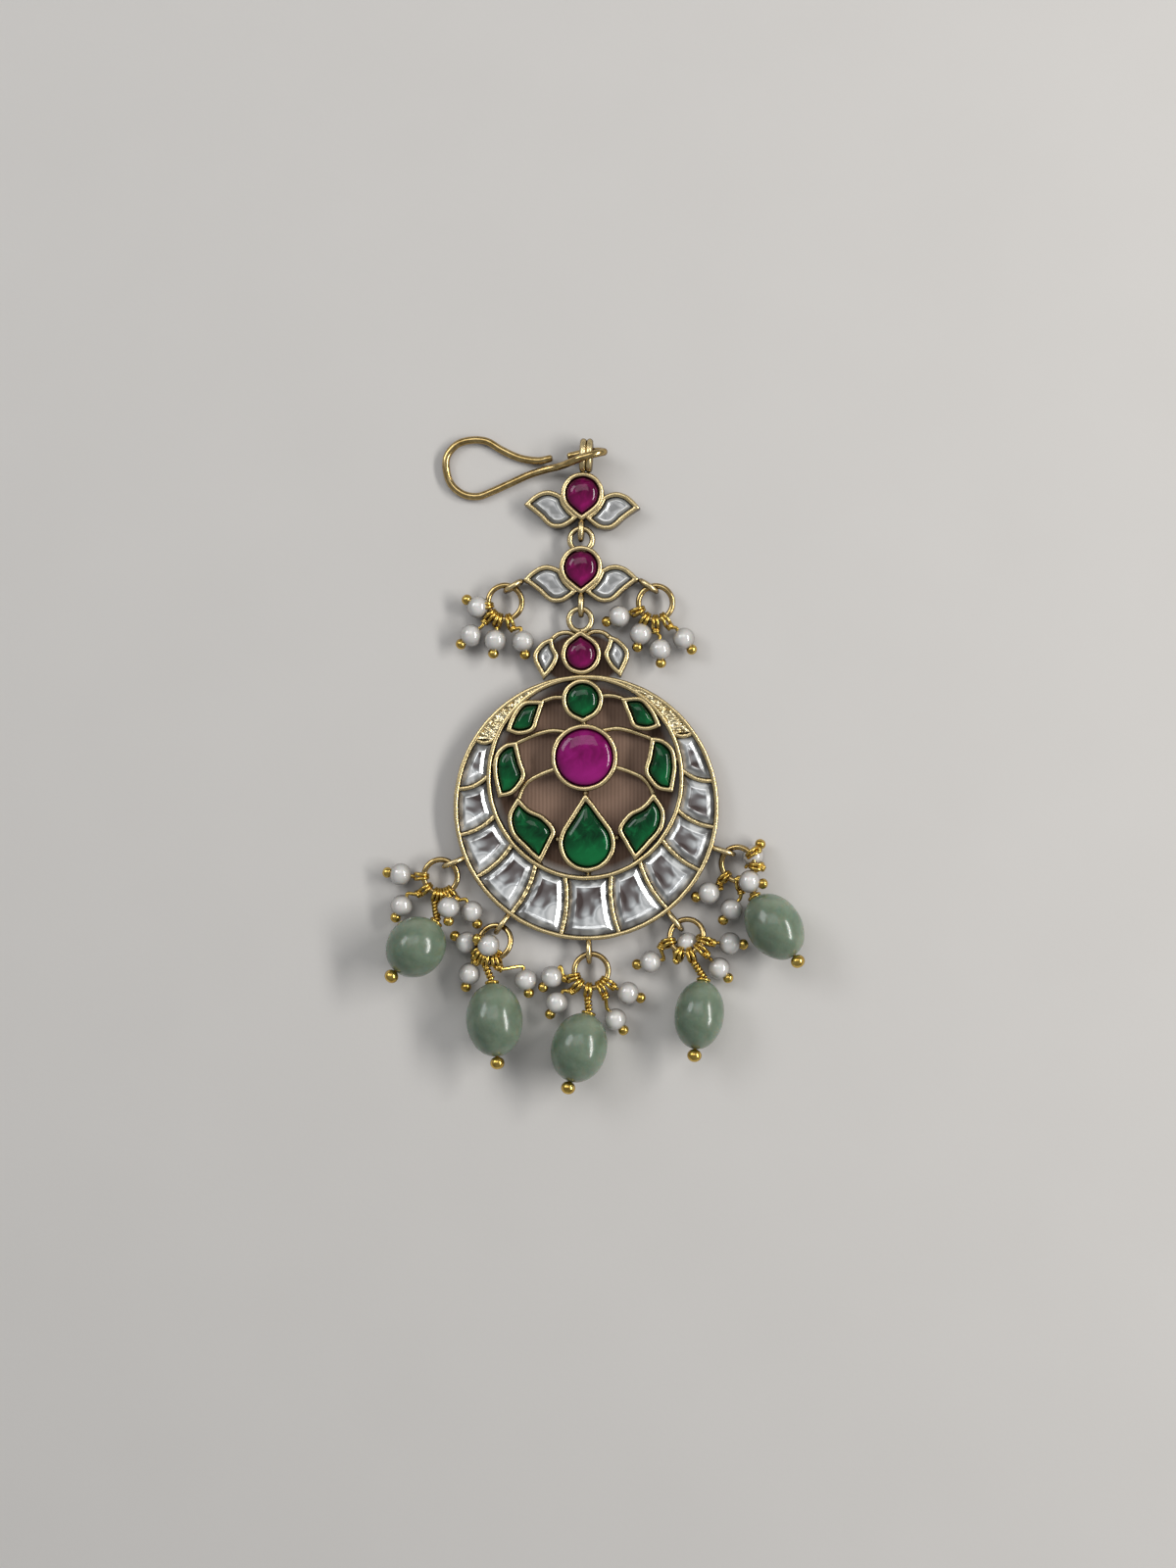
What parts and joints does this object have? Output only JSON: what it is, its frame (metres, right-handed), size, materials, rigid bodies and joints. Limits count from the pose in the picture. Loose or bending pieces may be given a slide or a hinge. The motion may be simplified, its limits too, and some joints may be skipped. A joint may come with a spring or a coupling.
{
  "type": "maang tikka",
  "caption": "Gold-tone kundan maang tikka: hair hook, two lotus links, crescent pendant with clear, ruby and green stones, pearl drops and grey-green bead drops, lying flat",
  "frame": {"origin": "bottom centre of the overall box, as it lies face up", "axes": "+Y towards the hook end, +Z out of the face of the pendant, +X to the wearer-facing viewer's right"},
  "size_m": [0.0562, 0.0872, 0.0079],
  "materials": {
    "antique_gold": "brushed antique gold plating",
    "wire_gold": "polished gold plating",
    "ruby_stone": "polished glass cabochon, foil backed",
    "green_stone": "polished glass cabochon, foil backed",
    "clear_stone": "faceted glass, silver foil backed",
    "bead_stone": "polished translucent stone"
  },
  "bodies": {
    "root": {"hook": "wire_gold", "lotus_top_setting": "antique_gold", "lotus_top_ruby": "ruby_stone", "lotus_top_petal_left": "clear_stone", "lotus_top_petal_right": "clear_stone", "lotus_middle_setting": "antique_gold", "lotus_middle_ruby": "ruby_stone", "lotus_middle_petal_left": "clear_stone", "lotus_middle_petal_right": "clear_stone", "pendant_setting": "antique_gold", "ruby_round": "ruby_stone", "green_drop_top": "green_stone", "green_drop_bottom": "green_stone", "ruby_crown": "ruby_stone", "green_leaf_upper_right": "green_stone", "green_leaf_upper_left": "green_stone", "green_leaf_middle_right": "green_stone", "green_leaf_middle_left": "green_stone", "green_leaf_lower_right": "green_stone", "green_leaf_lower_left": "green_stone", "clear_petal_crown_right": "clear_stone", "clear_petal_crown_left": "clear_stone", "clear_crescent_01": "clear_stone", "clear_crescent_02": "clear_stone", "clear_crescent_03": "clear_stone", "clear_crescent_04": "clear_stone", "clear_crescent_05": "clear_stone", "clear_crescent_06": "clear_stone", "clear_crescent_07": "clear_stone", "clear_crescent_08": "clear_stone", "clear_crescent_09": "clear_stone", "clear_crescent_10": "clear_stone", "clear_crescent_11": "clear_stone", "drops_lotus_left": "wire_gold", "drops_lotus_right": "wire_gold", "bead_left": "bead_stone", "drops_left": "wire_gold", "bead_lower_left": "bead_stone", "drops_lower_left": "wire_gold", "bead_bottom": "bead_stone", "drops_bottom": "wire_gold", "bead_lower_right": "bead_stone", "drops_lower_right": "wire_gold", "bead_right": "bead_stone", "drops_right": "wire_gold"}
  },
  "joints": []
}
